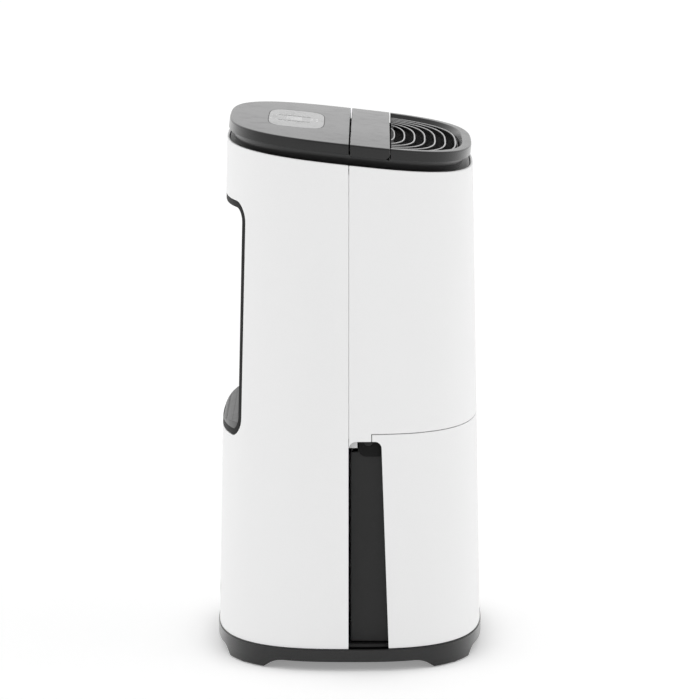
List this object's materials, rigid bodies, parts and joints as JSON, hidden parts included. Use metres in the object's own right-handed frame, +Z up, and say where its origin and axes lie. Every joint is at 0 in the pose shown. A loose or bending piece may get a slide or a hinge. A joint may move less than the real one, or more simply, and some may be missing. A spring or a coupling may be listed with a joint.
{
  "type": "dehumidifier",
  "caption": "Tower dehumidifier with a tapering two-part casing, sloping cap, lift-up carry handle, pull-out water tank and rear intake filter.",
  "frame": {"origin": "middle of the footprint, on the floor", "axes": "+Z up; the tank and the air outlet face -Y, the intake faces +Y, +X is the width"},
  "size_m": [0.322, 0.241, 0.483],
  "materials": {
    "white_plastic": "satin moulded white with a fine spark texture",
    "black_plastic": "satin moulded black",
    "gloss_black": "polished touch window",
    "grey_plastic": "plain moulded light grey",
    "rubber": "soft moulded rubber",
    "steel": "zinc-plated steel",
    "painted_steel": "black stove enamel",
    "aluminium": "bare pressed fins",
    "copper": "drawn copper tube",
    "circuit_board": "solder-masked board",
    "filter_mesh": "woven nylon mesh in a frame",
    "float_foam": "closed-cell float"
  },
  "bodies": {
    "cabinet": {"base_skirt": "black_plastic", "foot_pads": "rubber", "rear_shell": "white_plastic", "front_shell": "white_plastic", "inner_frame": "grey_plastic", "base_screws": "steel", "neck_ring": "black_plastic", "control_panel": "black_plastic", "touch_window": "gloss_black", "display_board": "circuit_board", "outlet_ring": "black_plastic", "outlet_grille": "black_plastic", "handle_well": "black_plastic", "handle_guides": "black_plastic", "fan_housing": "grey_plastic", "outlet_duct": "grey_plastic", "fan_motor": "steel", "motor_screws": "steel", "compressor": "painted_steel", "compressor_base": "painted_steel", "compressor_mounts": "rubber", "compressor_nuts": "steel", "accumulator": "painted_steel", "evaporator_coil": "aluminium", "condenser_coil": "aluminium", "refrigerant_pipes": "copper", "coil_shroud": "grey_plastic", "drip_tray": "grey_plastic", "drip_spout": "grey_plastic", "run_capacitor": "grey_plastic", "main_board": "circuit_board", "humidity_sensor": "grey_plastic", "tank_switch": "black_plastic", "cord_gland": "rubber", "drain_port": "black_plastic", "intake_frame": "black_plastic"},
    "handle": {"carry_handle": "black_plastic"},
    "tank": {"water_tank": "black_plastic", "tank_lid": "black_plastic", "tank_cover": "white_plastic", "handle_pivots": "black_plastic", "float_bracket": "black_plastic"},
    "bail": {"tank_handle": "black_plastic"},
    "float": {"tank_float": "float_foam", "float_magnet": "steel"},
    "filter": {"filter_cover": "black_plastic", "dust_filter": "filter_mesh"},
    "fan": {"fan_shaft": "steel", "fan_impeller": "grey_plastic"},
    "bung": {"drain_bung": "rubber"}
  },
  "joints": [
    {"name": "handle_lift", "type": "slide", "parent": "cabinet", "child": "handle", "axis": [0, 0, 1], "range_m": [0, 0.045]},
    {"name": "tank_pull", "type": "slide", "parent": "cabinet", "child": "tank", "axis": [0, -1, 0], "range_m": [0, 0.135]},
    {"name": "bail_swing", "type": "hinge", "parent": "tank", "child": "bail", "pos_m": [0, -0.0173, 0.206], "axis": [-1, 0, 0], "range_deg": [0, 90]},
    {"name": "float_rise", "type": "hinge", "parent": "tank", "child": "float", "pos_m": [0.096, -0.016, 0.152], "axis": [-1, 0, 0], "range_deg": [0, 28]},
    {"name": "filter_pull", "type": "slide", "parent": "cabinet", "child": "filter", "axis": [0, 1, 0], "range_m": [0, 0.04]},
    {"name": "fan_spin", "type": "hinge", "parent": "cabinet", "child": "fan", "pos_m": [0, -0.07, 0.352], "axis": [0, 1, 0], "continuous": true},
    {"name": "bung_pull", "type": "slide", "parent": "cabinet", "child": "bung", "axis": [0, 1, 0], "range_m": [0, 0.024]}
  ]
}
